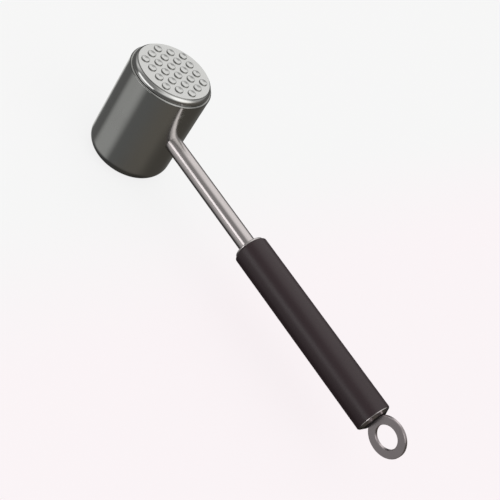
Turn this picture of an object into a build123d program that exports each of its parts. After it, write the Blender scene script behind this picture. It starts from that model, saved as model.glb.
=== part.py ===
"""A meat mallet: a heavy round steel head with a studded plate on top and a smooth striking
face below, on a slim steel rod with a rubber grip and a hanging ring.

Millimetres, +Z up. The origin is the centre of the smooth striking face, on which the mallet
stands. +Z is the head's axis, towards the studded plate, and +X runs out along the handle.
"""

import os
from math import atan, degrees, hypot, radians, sin

from build123d import *

# ---- Driving dimensions ----------------------------------------------------------------------

# Head body: one solid turned block of steel.
head_dia = 50.0
body_height = 63.1
foot_round = 8.5
rim_round = 0.8

# Toothed plate: a smaller disc with a rounded crown, and a flat face that stands a little proud.
# Its edge is held off the body by the seal.
plate_step = 1.2
plate_thickness = 3.6
crown_radius = 3.6
crown_slope = 60.0
face_step = 0.3
face_inset = 2.0
seal_gap = 0.2
register_dia = 30.0
register_length = 3.5
seal_inner_dia = 36.0
seal_inset = 1.2

# Teeth: low studs in staggered rows along the handle. Each has an upright flank with a little
# draft, a shallow cone and a small blunt point.
tooth_dia = 5.0
tooth_shoulder_dia = 4.9
tooth_flank_height = 0.6
tooth_shoulder_round = 0.4
tooth_point_dia = 1.2
tooth_cone_height = 0.3
tooth_tip_dia = 0.3
tooth_point_height = 0.3
tooth_pitch = 7.05
tooth_row_gap = 7.05
tooth_margin = 0.5

# Rod: seated and screwed into the head's side, at this depth below the head's rim.
handle_below_rim = 28.4
rod_dia = 10.0
rod_shoulder = 1.0
rod_shoulder_x = 11.0
tail_end_x = -8.0
tail_flat_depth = 0.6

# Front collar: a rounded steel flange in front of the grip, its hub inside, pinned to the rod.
collar_inset = 1.3
collar_flange = 1.5
collar_edge_round = 0.7
collar_wall = 1.2
collar_hub_length = 12.0
pin_dia = 3.0
pin_offset = 6.0

# Grip: a rubber sleeve moulded over a stiff plastic core, keyed to it by rings.
grip_front_x = 103.4
grip_rear_x = 215.0
grip_front_round = 1.0
grip_rear_round = 0.25
core_wall = 1.6
sleeve_wall = 2.1
key_width = 5.0
key_depth = 0.8
key_count = 4

# End cap: a shallow steel cone whose hub screws onto the rod, against a split washer.
cap_inset = 0.4
cap_lip = 0.35
cap_height = 1.8
cap_face_inset = 3.4
cap_hub_length = 10.0
cap_thread_depth = 8.6
washer_thickness = 2.0
washer_split = 0.8

# Hanging ring: a flat steel washer, let into the end cap and welded there.
ring_outer_dia = 22.9
ring_hole_dia = 13.3
ring_thickness = 2.0
ring_let_in = 1.7
ring_edge_break = 0.3

# Fasteners inside the head.
stud_dia = 10.0
stud_in_plate = 5.0
lock_screw_dia = 8.0
lock_screw_length = 10.0
lock_socket_width = 4.0
lock_socket_depth = 4.0
drill_runout = 0.8

# Fits: slip is a radial clearance, end_gap the clearance at a blind end.
slip = 0.05
end_gap = 0.2
thread_chamfer = 0.6

# ---- Sizes and places worked out from them ---------------------------------------------------

plate_dia = head_dia - 2 * plate_step
face_dia = plate_dia - 2 * face_inset
plate_bottom = body_height + seal_gap
plate_top = plate_bottom + plate_thickness
crown_top = plate_top - face_step
shoulder_z = plate_top + tooth_flank_height
point_z = shoulder_z + tooth_cone_height
register_bottom = plate_bottom - register_length
recess_bottom = register_bottom - end_gap

handle_height = body_height - handle_below_rim
thread_dia = rod_dia - 2 * rod_shoulder
lock_screw_bottom = handle_height + thread_dia / 2 - tail_flat_depth
lock_screw_top = lock_screw_bottom + lock_screw_length
stud_bottom = lock_screw_top + end_gap
stud_top = register_bottom + stud_in_plate

hub_dia = rod_dia + 2 * collar_wall
core_dia = hub_dia + 2 * core_wall
grip_dia = core_dia + 2 * sleeve_wall
collar_dia = grip_dia - 2 * collar_inset
collar_front_x = grip_front_x - collar_flange
pin_x = grip_front_x + pin_offset

cap_dia = grip_dia - 2 * cap_inset
cap_face_dia = grip_dia - 2 * cap_face_inset
cap_hub_x = grip_rear_x - cap_hub_length
cap_face_x = grip_rear_x + cap_height
rod_rear_x = cap_hub_x - washer_thickness
thread_end_x = cap_hub_x + cap_thread_depth - end_gap
ring_x = cap_face_x - ring_let_in + ring_outer_dia / 2
handle_axis = Axis((0, 0, handle_height), (1, 0, 0))


def across_handle(x):
    """The plane square to the handle at x, with its normal pointing towards the ring."""
    return Plane(origin=(x, 0, handle_height), x_dir=(0, 1, 0), z_dir=(1, 0, 0))


def tooth_spots():
    """Centres of the teeth: every spot of the staggered rows where a whole tooth stands on the
    plate's flat face. The middle row straddles the head's axis."""
    reach = face_dia / 2 - tooth_margin - tooth_dia / 2
    far_row = int(reach // tooth_row_gap)
    far_place = int(reach // tooth_pitch) + 1
    spots = []
    for row in range(-far_row, far_row + 1):
        stagger = 0.5 if row % 2 == 0 else 0.0
        for place in range(-far_place, far_place + 1):
            x, y = (place + stagger) * tooth_pitch, row * tooth_row_gap
            if hypot(x, y) <= reach:
                spots.append((x, y))
    return spots


def slope(wide, narrow, height):
    """The taper, in degrees, that takes a round boss from one diameter to another."""
    return degrees(atan((wide - narrow) / 2 / height))


def handle_side():
    """The upright plane through the handle's axis: local x runs along it, local y up."""
    return Plane(origin=(0, 0, handle_height), x_dir=(1, 0, 0), z_dir=(0, -1, 0))


def key_spots():
    """Centres, along the handle, of the ring-shaped keys that lock the rubber to the core."""
    step = (cap_hub_x - grip_front_x - collar_hub_length) / (key_count + 1)
    first = grip_front_x + collar_hub_length + step
    return [first + step * key for key in range(key_count)]


# ---- Head ------------------------------------------------------------------------------------

with BuildPart() as head_body:
    with BuildSketch(Plane.XY):
        Circle(head_dia / 2)
    extrude(amount=body_height)
    fillet(head_body.edges().group_by(Axis.Z)[0], foot_round)
    fillet(head_body.edges().group_by(Axis.Z)[-1], rim_round)
    # From the top: the plate's recess, the stud's thread and the lock screw's thread.
    with Locations((0, 0, body_height)):
        Hole(register_dia / 2 + slip, body_height - recess_bottom)
        Hole(stud_dia / 2, body_height - lock_screw_top)
        Hole(lock_screw_dia / 2, body_height - handle_height)
    # From the side: the rod's seat, then its thread.
    with BuildSketch(across_handle(rod_shoulder_x)):
        Circle(rod_dia / 2)
    extrude(amount=head_dia, mode=Mode.SUBTRACT)
    with BuildSketch(across_handle(tail_end_x - drill_runout)):
        Circle(thread_dia / 2)
    extrude(amount=head_dia, mode=Mode.SUBTRACT)

with BuildPart() as toothed_plate:
    # The plate's outline, spun round: a short upright wall, the crown's arc, a ledge and a step.
    crown_centre = (
        plate_dia / 2 - crown_radius,
        crown_top - crown_radius * sin(radians(crown_slope)),
    )
    with BuildSketch(Plane.XZ):
        with BuildLine():
            crown = CenterArc(crown_centre, crown_radius, 0, crown_slope)
            Polyline(
                crown @ 1,
                (face_dia / 2, crown_top),
                (face_dia / 2, plate_top),
                (0, plate_top),
                (0, plate_bottom),
                (plate_dia / 2, plate_bottom),
                crown @ 0,
            )
        make_face()
    revolve(axis=Axis.Z)
    with BuildSketch(Plane.XY.offset(register_bottom)):
        Circle(register_dia / 2)
    extrude(amount=register_length)
    with BuildSketch(Plane.XY.offset(register_bottom)):
        Circle(stud_dia / 2)
    extrude(amount=stud_in_plate + drill_runout, mode=Mode.SUBTRACT)
    # The teeth, from the face up: flank, shallow cone, point.
    for bottom, height, wide, narrow in (
        (plate_top, tooth_flank_height, tooth_dia, tooth_shoulder_dia),
        (shoulder_z, tooth_cone_height, tooth_shoulder_dia, tooth_point_dia),
        (point_z, tooth_point_height, tooth_point_dia, tooth_tip_dia),
    ):
        with BuildSketch(Plane.XY.offset(bottom)):
            with Locations(*tooth_spots()):
                Circle(wide / 2)
        extrude(amount=height, taper=slope(wide, narrow, height))
    shoulders = toothed_plate.edges().filter_by(GeomType.CIRCLE).filter_by_position(
        Axis.Z, shoulder_z - 0.01, shoulder_z + 0.01
    )
    fillet(shoulders, tooth_shoulder_round)

with BuildPart() as plate_seal:
    with BuildSketch(Plane.XY.offset(body_height)):
        Circle(plate_dia / 2 - seal_inset)
        Circle(seal_inner_dia / 2, mode=Mode.SUBTRACT)
    extrude(amount=seal_gap)

with BuildPart() as plate_stud:
    with BuildSketch(Plane.XY.offset(stud_bottom)):
        Circle(stud_dia / 2)
    extrude(amount=stud_top - stud_bottom)
    chamfer(plate_stud.edges().filter_by(GeomType.CIRCLE), thread_chamfer)

with BuildPart() as rod_lock_screw:
    with BuildSketch(Plane.XY.offset(lock_screw_bottom)):
        Circle(lock_screw_dia / 2)
    extrude(amount=lock_screw_top - lock_screw_bottom)
    chamfer(rod_lock_screw.edges().group_by(Axis.Z)[-1], thread_chamfer)
    with BuildSketch(Plane.XY.offset(lock_screw_top)):
        RegularPolygon(lock_socket_width / 2, side_count=6, major_radius=False)
    extrude(amount=-lock_socket_depth, mode=Mode.SUBTRACT)

# ---- Rod and front collar --------------------------------------------------------------------

with BuildPart() as handle_rod:
    with BuildSketch(across_handle(tail_end_x)):
        Circle(thread_dia / 2)
    extrude(amount=rod_shoulder_x - tail_end_x)
    with BuildSketch(across_handle(rod_shoulder_x)):
        Circle(rod_dia / 2)
    extrude(amount=rod_rear_x - rod_shoulder_x)
    with BuildSketch(across_handle(rod_rear_x)):
        Circle(thread_dia / 2)
    extrude(amount=thread_end_x - rod_rear_x)
    thread_ends = handle_rod.edges().filter_by(GeomType.CIRCLE).group_by(Axis.X)
    chamfer(thread_ends[0] + thread_ends[-1], thread_chamfer)
    # The flat that the lock screw bears on, as wide as the screw.
    with BuildSketch(Plane.XY.offset(lock_screw_bottom)):
        Rectangle(lock_screw_dia, thread_dia)
    extrude(amount=tail_flat_depth, mode=Mode.SUBTRACT)
    with BuildSketch(Plane.XY.offset(handle_height)):
        with Locations((pin_x, 0)):
            Circle(pin_dia / 2)
    extrude(amount=rod_dia, both=True, mode=Mode.SUBTRACT)

with BuildPart() as front_collar:
    with BuildSketch(across_handle(collar_front_x)):
        Circle(collar_dia / 2)
    extrude(amount=collar_flange)
    fillet(front_collar.edges(), collar_edge_round)
    with BuildSketch(across_handle(grip_front_x)):
        Circle(hub_dia / 2)
    extrude(amount=collar_hub_length)
    with BuildSketch(across_handle(collar_front_x)):
        Circle(rod_dia / 2)
    extrude(amount=collar_flange + collar_hub_length, mode=Mode.SUBTRACT)
    with BuildSketch(Plane.XY.offset(handle_height)):
        with Locations((pin_x, 0)):
            Circle(pin_dia / 2)
    extrude(amount=hub_dia, both=True, mode=Mode.SUBTRACT)

with BuildPart() as collar_pin:
    with BuildSketch(Plane.XY.offset(handle_height)):
        with Locations((pin_x, 0)):
            Circle(pin_dia / 2)
    extrude(amount=hub_dia / 2 - end_gap, both=True)
    chamfer(collar_pin.edges().filter_by(GeomType.CIRCLE), end_gap)

# ---- Grip ------------------------------------------------------------------------------------

with BuildPart() as grip_core:
    with BuildSketch(across_handle(grip_front_x)):
        Circle(core_dia / 2)
        Circle(rod_dia / 2 + slip, mode=Mode.SUBTRACT)
    extrude(amount=grip_rear_x - grip_front_x)
    with BuildSketch(across_handle(grip_front_x)):
        Circle(hub_dia / 2 + slip)
    extrude(amount=collar_hub_length + end_gap, mode=Mode.SUBTRACT)
    with BuildSketch(across_handle(rod_rear_x)):
        Circle(hub_dia / 2 + slip)
    extrude(amount=grip_rear_x - rod_rear_x, mode=Mode.SUBTRACT)
    for x in key_spots():
        with BuildSketch(across_handle(x - key_width / 2)):
            Circle(core_dia / 2)
            Circle(core_dia / 2 - key_depth, mode=Mode.SUBTRACT)
        extrude(amount=key_width, mode=Mode.SUBTRACT)

with BuildPart() as grip_sleeve:
    with BuildSketch(across_handle(grip_front_x)):
        Circle(grip_dia / 2)
    extrude(amount=grip_rear_x - grip_front_x)
    fillet(grip_sleeve.edges().group_by(Axis.X)[0], grip_front_round)
    fillet(grip_sleeve.edges().group_by(Axis.X)[-1], grip_rear_round)
    with BuildSketch(across_handle(grip_front_x)):
        Circle(core_dia / 2)
    extrude(amount=grip_rear_x - grip_front_x, mode=Mode.SUBTRACT)
    for x in key_spots():
        with BuildSketch(across_handle(x - key_width / 2)):
            Circle(core_dia / 2)
            Circle(core_dia / 2 - key_depth, mode=Mode.SUBTRACT)
        extrude(amount=key_width)

# ---- End cap and hanging ring ----------------------------------------------------------------

with BuildPart() as lock_washer:
    with BuildSketch(across_handle(rod_rear_x)):
        Circle(hub_dia / 2 - slip)
        Circle(thread_dia / 2 + slip, mode=Mode.SUBTRACT)
        with Locations((hub_dia / 2, 0)):
            Rectangle(hub_dia, washer_split, mode=Mode.SUBTRACT)
    extrude(amount=washer_thickness)

with BuildPart() as end_cap:
    # A lip, a shallow cone and a flat face outside, and a threaded hub inside the core.
    with BuildSketch(handle_side()):
        with BuildLine():
            Polyline(
                (cap_hub_x, 0),
                (cap_hub_x, hub_dia / 2),
                (grip_rear_x, hub_dia / 2),
                (grip_rear_x, cap_dia / 2),
                (grip_rear_x + cap_lip, cap_dia / 2),
                (cap_face_x, cap_face_dia / 2),
                (cap_face_x, 0),
                close=True,
            )
        make_face()
    revolve(axis=handle_axis)
    with BuildSketch(across_handle(cap_hub_x)):
        Circle(thread_dia / 2)
    extrude(amount=cap_thread_depth, mode=Mode.SUBTRACT)
    # The slot that the hanging ring is let into follows the ring's own edge.
    with BuildSketch(handle_side()):
        with Locations((ring_x, 0)):
            Circle(ring_outer_dia / 2)
    extrude(amount=ring_thickness / 2, both=True, mode=Mode.SUBTRACT)

with BuildPart() as hanging_ring:
    with BuildSketch(handle_side()):
        with Locations((ring_x, 0)):
            Circle(ring_outer_dia / 2)
            Circle(ring_hole_dia / 2, mode=Mode.SUBTRACT)
    extrude(amount=ring_thickness / 2, both=True)
    chamfer(hanging_ring.edges().filter_by(GeomType.CIRCLE), ring_edge_break)

# ---- Files -----------------------------------------------------------------------------------

pieces = {
    "head_body": head_body,
    "toothed_plate": toothed_plate,
    "plate_seal": plate_seal,
    "plate_stud": plate_stud,
    "rod_lock_screw": rod_lock_screw,
    "handle_rod": handle_rod,
    "front_collar": front_collar,
    "collar_pin": collar_pin,
    "grip_core": grip_core,
    "grip_sleeve": grip_sleeve,
    "lock_washer": lock_washer,
    "end_cap": end_cap,
    "hanging_ring": hanging_ring,
}

os.makedirs("parts", exist_ok=True)
for name, piece in pieces.items():
    piece.part.label = name
    export_step(piece.part, f"parts/{name}.step")
    print(f"{name}: {piece.part.volume:.0f} cubic mm, {len(piece.solids())} solid")
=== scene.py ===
# %% [markdown]
# # A meat mallet
#
# The real tool is a heavy round steel head on a slim steel rod, with a rubber grip and a steel
# hanging ring. Its shapes are already made to size in CAD, so this file is about looks: the
# finishes, the light and the camera.
#
# ## The fixed frame
#
# The CAD model is loaded first and never changes. Every piece lies where it belongs, in metres,
# with its object at the origin. Loading leaves the CAD pieces selected, and an operator works on
# all that is selected, so everything is deselected before anything else is done.

from math import cos, pi, radians, sin

import bpy
from mathutils import Matrix, Vector


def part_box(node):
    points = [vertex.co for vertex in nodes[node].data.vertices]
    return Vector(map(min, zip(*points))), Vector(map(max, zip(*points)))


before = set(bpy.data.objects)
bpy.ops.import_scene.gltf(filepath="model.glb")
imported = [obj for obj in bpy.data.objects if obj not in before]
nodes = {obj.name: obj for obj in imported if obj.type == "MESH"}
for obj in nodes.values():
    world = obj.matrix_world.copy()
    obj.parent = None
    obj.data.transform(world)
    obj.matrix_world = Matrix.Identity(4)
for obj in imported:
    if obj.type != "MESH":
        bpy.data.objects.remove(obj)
bpy.ops.object.select_all(action="DESELECT")
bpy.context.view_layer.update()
print("pieces from CAD:", ", ".join(sorted(nodes)))

# %% [markdown]
# The places that the finishes need are read from the pieces themselves: the height of the
# handle's axis, where the body ends below its toothed plate, and so on. If the design changes,
# the finishes follow it.

# %% Places and sizes read from the frame
head_low, head_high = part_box("head_body")
plate_low, plate_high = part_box("toothed_plate")
grip_low, grip_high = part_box("grip_sleeve")
cap_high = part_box("end_cap")[1]
ring_low, ring_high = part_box("hanging_ring")

head_radius = (head_high.x - head_low.x) / 2
plate_radius = (plate_high.x - plate_low.x) / 2
handle_height = (grip_low.z + grip_high.z) / 2
ring_radius = (ring_high.z - ring_low.z) / 2
ring_thickness = ring_high.y - ring_low.y
ring_x = ring_high.x - ring_radius
print(f"head {2000 * head_radius:.1f} mm across, handle axis {1000 * handle_height:.1f} mm up")

# %% [markdown]
# ## The camera
#
# A long lens from above, tipped on its side so that the handle runs down the picture to the
# right. A camera looks along its own -Z, so its three axes are worked out one by one: `back`
# points from the mallet to the camera, and the tilt turns the other two about it.

# %% Camera
camera_azimuth = radians(24.64)
camera_elevation = radians(38.42)
camera_tilt = radians(38.02)
camera_distance = 0.5416
camera_lens = 72.04
aim = Vector((0.1035, 0, handle_height - 0.0006))

back = Vector(
    (
        sin(camera_azimuth) * cos(camera_elevation),
        -cos(camera_azimuth) * cos(camera_elevation),
        sin(camera_elevation),
    )
)
level = Vector((0, 0, 1)).cross(back).normalized()
upright = back.cross(level)
camera_right = level * cos(camera_tilt) + upright * sin(camera_tilt)
camera_up = upright * cos(camera_tilt) - level * sin(camera_tilt)

bpy.ops.object.camera_add(location=aim + back * camera_distance)
camera = bpy.context.object
camera.name = "camera"
camera.rotation_euler = Matrix((camera_right, camera_up, back)).transposed().to_euler()
camera.data.lens = camera_lens
camera.data.sensor_width = 36
bpy.context.scene.camera = camera
print("camera at", [round(c, 3) for c in camera.location])

# %% [markdown]
# ## Writing a finish
#
# A finish is a tree of nodes. Three small classes keep it readable. `Wire` is one output of a
# node, and `+`, `-` and `*` on it add Math nodes, so a mask can be written as a sum. `Tree` is a
# node tree being written, and its one method `node` adds any other node. `Finish` is a tree for a
# material, with its Principled shader.

# %% Helpers for shader nodes
class Wire:
    """One output of a node. Arithmetic on it adds Math nodes to the same tree."""

    def __init__(self, tree, output):
        self.tree = tree
        self.output = output

    def maths(self, operation, *values):
        inputs = dict(enumerate(values))
        return self.tree.node("ShaderNodeMath", {"operation": operation}, inputs)

    def __add__(self, other):
        return self.maths("ADD", self, other)

    def __radd__(self, other):
        return self.maths("ADD", other, self)

    def __sub__(self, other):
        return self.maths("SUBTRACT", self, other)

    def __rsub__(self, other):
        return self.maths("SUBTRACT", other, self)

    def __mul__(self, other):
        return self.maths("MULTIPLY", self, other)

    def __rmul__(self, other):
        return self.maths("MULTIPLY", other, self)

    def size(self):
        return self.maths("ABSOLUTE", self)


class Tree:
    """A node tree that is being written."""

    def __init__(self, node_tree):
        self.node_tree = node_tree

    def node(self, kind, settings=None, inputs=None, output=0):
        """Adds a node: its settings first, then what goes into its sockets."""
        made = self.node_tree.nodes.new(kind)
        for name, value in (settings or {}).items():
            setattr(made, name, value)
        for socket, value in (inputs or {}).items():
            self.plug(made.inputs[socket], value)
        return Wire(self, made.outputs[output])

    def plug(self, socket, value):
        """Links a wire to a socket, or sets the socket to a plain value."""
        if isinstance(value, Wire):
            self.node_tree.links.new(value.output, socket)
        else:
            socket.default_value = value

    def mix(self, factor, first, second):
        """Two colours mixed: all first at factor 0, all second at factor 1."""
        inputs = {0: factor, 6: first, 7: second}
        return self.node("ShaderNodeMix", {"data_type": "RGBA"}, inputs, output=2)

    def step(self, value, low, high, at_low=0.0, at_high=1.0):
        """A soft step: at_low below low, at_high above high, and smooth in between."""
        settings = {"interpolation_type": "SMOOTHSTEP"}
        inputs = {0: value, 1: low, 2: high, 3: at_low, 4: at_high}
        return self.node("ShaderNodeMapRange", settings, inputs)


class Finish(Tree):
    """A material. Numbers that are the same all over go straight onto its shader."""

    def __init__(self, name, **everywhere):
        self.material = bpy.data.materials.new(name)
        self.material.use_nodes = True
        super().__init__(self.material.node_tree)
        self.shader = self.node_tree.nodes["Principled BSDF"]
        for socket, value in everywhere.items():
            self.set(socket.replace("_", " "), value)

    def set(self, socket, value):
        """Sets one of the shader's sockets to a value or a wire."""
        self.plug(self.shader.inputs[socket], value)

    def place(self, centre=(0, 0, 0)):
        """The point being shaded, measured from a centre, in metres."""
        point = self.node("ShaderNodeTexCoord", output="Object")
        inputs = {0: point, 1: tuple(centre)}
        return self.node("ShaderNodeVectorMath", {"operation": "SUBTRACT"}, inputs)

    def axis(self, point, name):
        """One coordinate of a point."""
        return self.node("ShaderNodeSeparateXYZ", inputs={0: point}, output=name)

    def noise(self, point, grains, detail=3.0, roughness=0.5):
        """Noise between 0 and 1, with this many grains to the metre along X, Y and Z."""
        inputs = {0: point, 1: tuple(grains)}
        stretched = self.node("ShaderNodeVectorMath", {"operation": "MULTIPLY"}, inputs)
        inputs = {"Vector": stretched, "Scale": 1.0, "Detail": detail, "Roughness": roughness}
        return self.node("ShaderNodeTexNoise", inputs=inputs)

    def bump(self, height, distance, strength=1.0):
        """Gives the surface a relief: height from 0 to 1, times distance in metres."""
        inputs = {"Height": height, "Distance": distance, "Strength": strength}
        self.set("Normal", self.node("ShaderNodeBump", inputs=inputs))

    def coat_pieces(self, *names):
        """Puts the finish on CAD pieces, in place of what they came with."""
        for name in names:
            mesh = nodes[name].data
            mesh.materials.clear()
            mesh.materials.append(self.material)
        print(f"{self.material.name}: {', '.join(names)}")


# %% [markdown]
# ## Polished steel: the head
#
# The head is one block of stainless steel, turned on a lathe and then polished. Polishing leaves
# hair-fine lines that run round it, a few faint smears, and tiny handling scratches. Most of it
# lives in the roughness and a very shallow relief, because steel changes its gloss far more than
# its colour: the smears are only a shade darker. The rounded rim is painted clearly darker, as
# painted shade under the plate's edge that also dims its highlight. Noise stretched along the
# lines is simpler than an anisotropic shader.

# %% Head
polish_roughness = 0.14
smear_roughness = 0.07
scratch_roughness = 0.10
edge_width = 0.0009
clean_steel = (0.56, 0.565, 0.55, 1)
smeared_steel = (0.54, 0.543, 0.53, 1)
# Painted shade: the colour of the rounded rim under the plate's edge.
rim_painted_shade = (0.33, 0.33, 0.32, 1)


def head_finish():
    finish = Finish("polished_steel", Metallic=1.0)
    point = finish.place()
    height = finish.axis(point, "Z")
    lines = finish.noise(point, (40, 40, 2600), detail=2)
    broad_lines = finish.noise(point, (12, 12, 420), detail=2)
    smears = finish.step(finish.noise(point, (70, 70, 45), detail=5), 0.48, 0.72)
    scratches = finish.step(finish.noise(point, (900, 260, 120), detail=2), 0.66, 0.72)
    # Mask of the rounded rim, which gets painted shade that also dims its highlight.
    shaded_rim = finish.step(height, head_high.z - edge_width, head_high.z - 0.7 * edge_width)
    steel = finish.mix(smears, clean_steel, smeared_steel)
    finish.set("Base Color", finish.mix(shaded_rim, steel, rim_painted_shade))
    wear = smears * smear_roughness + scratches * scratch_roughness
    finish.set("Roughness", wear + polish_roughness + (broad_lines - 0.5) * 0.05)
    finish.bump(lines + scratches * 0.6, distance=0.000012, strength=0.35)
    finish.coat_pieces("head_body")


head_finish()

# %% [markdown]
# ## Blasted steel: the toothed plate
#
# The plate's face and its studs are lightly bead-blasted, so they are satin and a little lighter,
# with a very fine grain. The rounded crown round the face is polished like the body. Each point's
# distance from the head's axis tells the two apart. The studs' upright flanks are painted darker
# than the face, as painted shade, and so is the corner at the foot of the face's edge, as painted
# shade in the step's corner.

# %% Toothed plate
blast_roughness = 0.22
crown_roughness = 0.15
crown_width = 0.0020
face_height = plate_high.z - 0.0012
blast_grains = 2300
# Where the painted shade in the corner at the foot of the face's step ends.
corner_shade_end = plate_radius - crown_width + 0.00035
crown_steel = (0.58, 0.58, 0.57, 1)
# Painted shade: the colour of the corner at the foot of the face's step.
corner_painted_shade = (0.20, 0.20, 0.195, 1)
# Painted shade: the colour of the studs' upright flanks.
stud_flank_painted_shade = (0.22, 0.22, 0.21, 1)
dull_blast = (0.60, 0.60, 0.59, 1)
bright_blast = (0.66, 0.66, 0.655, 1)


def plate_finish():
    finish = Finish("blasted_steel", Metallic=1.0)
    point = finish.place()
    flat = finish.node(
        "ShaderNodeVectorMath", {"operation": "MULTIPLY"}, {0: point, 1: (1, 1, 0)}
    )
    reach = finish.node("ShaderNodeVectorMath", {"operation": "LENGTH"}, {0: flat}, output=1)
    face = finish.step(reach, plate_radius - crown_width, plate_radius - 0.9 * crown_width, 1, 0)
    height = finish.axis(point, "Z") - face_height
    # Mask of the studs' upright flanks, which get painted shade.
    shaded_flanks = finish.step(height, 0.00002, 0.00008) * finish.step(height, 0.0004, 0.0006, 1, 0)
    grain = finish.noise(point, (blast_grains, blast_grains, blast_grains), detail=2)
    patches = finish.noise(point, (90, 90, 90), detail=4)
    matt = finish.mix(patches, dull_blast, bright_blast)
    studded = finish.mix(shaded_flanks, matt, stud_flank_painted_shade)
    # Mask of the corner at the foot of the face's step, which gets painted shade.
    shaded_corner = finish.step(reach, corner_shade_end, corner_shade_end + 0.0002, 1, 0)
    crown = finish.mix(shaded_corner, crown_steel, corner_painted_shade)
    finish.set("Base Color", finish.mix(face, crown, studded))
    satin = (patches - 0.5) * 0.08 + blast_roughness
    finish.set("Roughness", face * (satin - crown_roughness) + crown_roughness)
    finish.bump(grain * face, distance=0.00003, strength=0.35)
    finish.coat_pieces("toothed_plate")


plate_finish()

# %% [markdown]
# ## Drawn steel: the rod, the front collar and the end cap
#
# The rod is drawn through a die and polished lengthwise, so its fine lines run along it. The
# collar and the end cap are turned, so theirs run round the handle. One function makes both:
# the number of grains along X decides which way the lines lie. The cap's flat end is painted
# dark and its reflections dimmed, as painted shade, and its lip stays bright.

# %% Rod, collar and cap
rod_roughness = 0.20
rod_colour = (0.61, 0.565, 0.565)
turned_roughness = 0.18
turned_colour = (0.60, 0.56, 0.56)
# Painted shade on the cap's flat end: a dark colour and a dimmed reflection.
cap_end_painted_shade = (0.16, 0.145, 0.15, 1)
cap_end_dimmed_reflection = (0.3, 0.3, 0.3, 1)


def small_steel_finish(name, lines_along_x, roughness, colour, pieces, painted_shade_from=None):
    finish = Finish(name, Metallic=1.0)
    point = finish.place((0, 0, handle_height))
    across = 1600 if lines_along_x else 60
    along = 14 if lines_along_x else 3200
    lines = finish.noise(point, (along, across, across), detail=3)
    smears = finish.step(finish.noise(point, (60, 160, 160), detail=5), 0.45, 0.75)
    dark = tuple(0.93 * c for c in colour)
    steel = finish.mix(smears, (*colour, 1), (*dark, 1))
    # Past this X, the cap's flat end gets painted shade: a dark colour and dimmed reflections.
    if painted_shade_from is not None:
        shaded_cap_end = finish.step(finish.axis(point, "X"), painted_shade_from - 0.0002, painted_shade_from)
        steel = finish.mix(shaded_cap_end, steel, cap_end_painted_shade)
        finish.set("Specular Tint", cap_end_dimmed_reflection)
    finish.set("Base Color", steel)
    finish.set("Roughness", smears * 0.07 + lines * 0.06 + (roughness - 0.03))
    finish.bump(lines, distance=0.000012, strength=0.4)
    finish.coat_pieces(*pieces)


small_steel_finish("drawn_steel", True, rod_roughness, rod_colour, ["handle_rod"])
small_steel_finish("turned_steel", False, turned_roughness, turned_colour, ["front_collar"])
small_steel_finish(
    "cap_steel_painted_shade",
    False,
    turned_roughness,
    turned_colour,
    ["end_cap"],
    painted_shade_from=cap_high.x - 0.0002,
)

# %% [markdown]
# ## Brushed steel: the hanging ring
#
# The ring is a stamped washer. Its flat faces are brushed in one direction, and tumbling has
# left the broken edges smoother than the faces.

# %% Hanging ring
ring_edge_roughness = 0.2
dull_ring = (0.53, 0.47, 0.485, 1)
bright_ring = (0.59, 0.53, 0.545, 1)


def ring_finish():
    finish = Finish("brushed_steel", Metallic=1.0)
    point = finish.place((ring_x, 0, handle_height))
    brushed = finish.noise(point, (120, 120, 3600), detail=3)
    patches = finish.noise(point, (160, 160, 160), detail=4)
    finish.set("Base Color", finish.mix(patches, dull_ring, bright_ring))
    side = finish.axis(point, "Y").size()
    face = finish.step(side, 0.35 * ring_thickness, 0.45 * ring_thickness)
    finish.set("Roughness", ring_edge_roughness + face * 0.1 + (brushed - 0.5) * 0.1)
    finish.bump(brushed * face, distance=0.00002, strength=0.4)
    finish.coat_pieces("hanging_ring")


ring_finish()

# %% [markdown]
# ## Rubber: the grip and the gasket
#
# The grip is moulded rubber, near black and a little warm. The mould gives it a fine pebbled
# grain, and hands polish it slightly in broad patches. The gasket is the same rubber, plainer.

# %% Grip and gasket
grip_colour = (0.030, 0.0155, 0.0195)
gasket_colour = (0.012, 0.012, 0.012)


def rubber_finish(name, colour, roughness, grain_depth, pieces):
    finish = Finish(name, Metallic=0.0, IOR=1.5)
    point = finish.place((0, 0, handle_height))
    grain = finish.noise(point, (1500, 1500, 1500), detail=3, roughness=0.6)
    patches = finish.noise(point, (35, 70, 70), detail=4)
    light = tuple(1.25 * c for c in colour)
    finish.set("Base Color", finish.mix(patches, (*colour, 1), (*light, 1)))
    finish.set("Roughness", (patches - 0.5) * 0.14 + (grain - 0.5) * 0.1 + roughness)
    finish.bump(grain, distance=grain_depth, strength=0.5)
    finish.coat_pieces(*pieces)


rubber_finish("grip_rubber", grip_colour, 0.40, 0.00005, ["grip_sleeve"])
rubber_finish("gasket_rubber", gasket_colour, 0.6, 0.00003, ["plate_seal"])

# %% [markdown]
# ## Inside: zinc-plated fasteners and the plastic core
#
# These show only when the mallet is taken apart. The stud, the screw, the pin and the washer are
# zinc plated, which makes a faint crystal pattern. The core is moulded nylon.

# %% Fasteners and core
def zinc_finish():
    finish = Finish("zinc_plate", Metallic=1.0)
    point = finish.place()
    crystals = finish.node(
        "ShaderNodeTexVoronoi", {"feature": "F1"}, {"Vector": point, "Scale": 700.0}
    )
    finish.set(
        "Base Color", finish.mix(crystals, (0.60, 0.61, 0.62, 1), (0.70, 0.71, 0.72, 1))
    )
    finish.set("Roughness", crystals * 0.2 + 0.28)
    finish.bump(crystals, distance=0.00001, strength=0.4)
    finish.coat_pieces("plate_stud", "rod_lock_screw", "collar_pin", "lock_washer")


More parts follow.
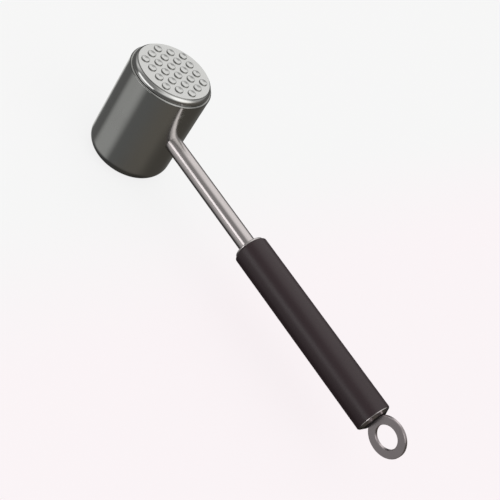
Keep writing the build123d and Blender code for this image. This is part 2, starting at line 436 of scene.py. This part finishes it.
def core_finish():
    finish = Finish("moulded_nylon", Metallic=0.0, IOR=1.53)
    point = finish.place()
    flow = finish.noise(point, (30, 90, 90), detail=4)
    speckle = finish.noise(point, (1800, 1800, 1800), detail=2)
    finish.set("Base Color", finish.mix(flow, (0.045, 0.045, 0.048, 1), (0.07, 0.07, 0.072, 1)))
    finish.set("Roughness", flow * 0.12 + 0.38)
    finish.bump(speckle, distance=0.00002, strength=0.3)
    finish.coat_pieces("grip_core")


zinc_finish()
core_finish()

# %% [markdown]
# ## The floor
#
# Polished steel shows whatever is round it, so the floor must not be its mirror image: the
# mallet is lit as if it hung in a dim studio. The floor is therefore seen by the camera alone.
# It glows, which keeps it pale whatever the light does, and the glow turns slightly rosy along +X.

# %% Floor
floor_size = 12.0
white_glow = (0.832, 0.832, 0.832, 1)
rosy_glow = (0.868, 0.812, 0.832, 1)
bpy.ops.mesh.primitive_plane_add(size=floor_size, location=(0, 0, 0))
floor = bpy.context.object
floor.name = "floor"
floor.visible_glossy = False
floor.visible_diffuse = False
floor.visible_shadow = False

floor_finish = Finish("pale_paper", Roughness=0.9, Emission_Strength=1.0)
paper = floor_finish.place()
floor_finish.set("Base Color", (0.12, 0.12, 0.12, 1))
floor_finish.set("Specular IOR Level", 0.0)
rosy = floor_finish.step(floor_finish.axis(paper, "X"), 0.02, 0.13)
floor_finish.set("Emission Color", floor_finish.mix(rosy, white_glow, rosy_glow))
floor.data.materials.append(floor_finish.material)

# %% [markdown]
# ## Light
#
# A dim dome gives the steel its dark greys. Its bright ceiling lights the plate, the rod's top and
# the grip, and three darker patches in it shade the plate's polished crown. Low on the left stand
# the panels that the head mirrors. One real light is added, a long softbox at the front left,
# which draws the white line down the rod.

# %% Dome
def compass(azimuth, elevation):
    """The direction towards a place in the studio, in degrees: azimuth from +X towards +Y."""
    around, up = radians(azimuth), radians(elevation)
    return Vector((cos(around) * cos(up), sin(around) * cos(up), sin(up)))


bpy.ops.world.new()
world = bpy.data.worlds[-1]
bpy.context.scene.world = world
world.use_nodes = True
dome = Tree(world.node_tree)


def toward(direction, azimuth, elevation, inner, outer):
    """1 within the inner angle of a place in the studio, falling to 0 at the outer angle."""
    inputs = {0: direction, 1: tuple(compass(azimuth, elevation))}
    nearness = dome.node("ShaderNodeVectorMath", {"operation": "DOT_PRODUCT"}, inputs, output=1)
    return dome.step(nearness, cos(radians(outer)), cos(radians(inner)))


base_glow = 0.13
ceiling_glow = 0.9
neutral_light = (1.0, 1.0, 0.985, 1)
warm_light = (1.08, 0.99, 0.86, 1)


def dome_light():
    """How bright the dome is in a direction, and how warm, both as wires."""
    direction = dome.node("ShaderNodeTexCoord", output="Generated")
    rise = dome.node("ShaderNodeSeparateXYZ", inputs={0: direction}, output="Z")
    ceiling = dome.step(rise, sin(radians(6)), sin(radians(33)))
    steep = dome.step(rise, -sin(radians(64)), -sin(radians(44)), 0.4, 1)
    dark_front = toward(direction, -105, 38, 18, 50)
    dark_right = toward(direction, 65, 35, 8, 38)
    dark_left = toward(direction, 172, 36, 6, 26)
    shade = (1 - dark_front * 0.82) * (1 - dark_right * 0.6) * (1 - dark_left * 0.55)
    right_lamp = toward(direction, 10, 38, 14, 34)
    left_panel = toward(direction, -122, -35, 12, 32)
    under_strip = toward(direction, -110, -15, 4, 20)
    left_sweep = toward(direction, 136, -34, 4, 22)
    darkest = toward(direction, 50, -40, 5, 42)
    lit = left_panel * 0.25 + under_strip * 0.28 + left_sweep * 0.65
    below = (base_glow + lit - darkest * 0.055) * steep
    above = ceiling * shade * ceiling_glow
    warmth = toward(direction, 25, -38, 15, 75)
    return below + above + right_lamp * 0.55, warmth


glow, warmth = dome_light()
camera_ray = dome.node("ShaderNodeLightPath", output="Is Camera Ray")
tint = dome.mix(warmth, neutral_light, warm_light)
shade = dome.node("ShaderNodeVectorMath", {"operation": "SCALE"}, {0: tint, "Scale": glow})
backdrop = (0.93, 0.93, 0.93, 1)
background = world.node_tree.nodes["Background"]
dome.plug(background.inputs["Color"], dome.mix(camera_ray, shade, backdrop))
print("dome nodes:", len(world.node_tree.nodes))

# %% Softbox
studio_centre = Vector((0.10, 0, handle_height))


def softbox(name, azimuth, elevation, distance, width, height, brightness):
    """An area light that faces the mallet. Its brightness is per square metre, like a screen's."""
    toward_light = compass(azimuth, elevation)
    bpy.ops.object.light_add(type="AREA", location=studio_centre + toward_light * distance)
    light = bpy.context.object
    light.name = name
    light.rotation_euler = toward_light.to_track_quat("Z", "Y").to_euler()
    light.data.shape = "RECTANGLE"
    light.data.size = width
    light.data.size_y = height
    light.data.energy = brightness * pi * width * height
    return light


strip = softbox(
    "front_left_strip",
    azimuth=-107,
    elevation=7,
    distance=1.6,
    width=1.7,
    height=0.64,
    brightness=1.5,
)
print(f"{strip.name}: {strip.data.energy:.1f} W")

# %% [markdown]
# ## Finishing
#
# The plain colour transform is chosen, so that the pale backdrop stays pale.

# %% Finish
bpy.context.scene.view_settings.view_transform = "Standard"
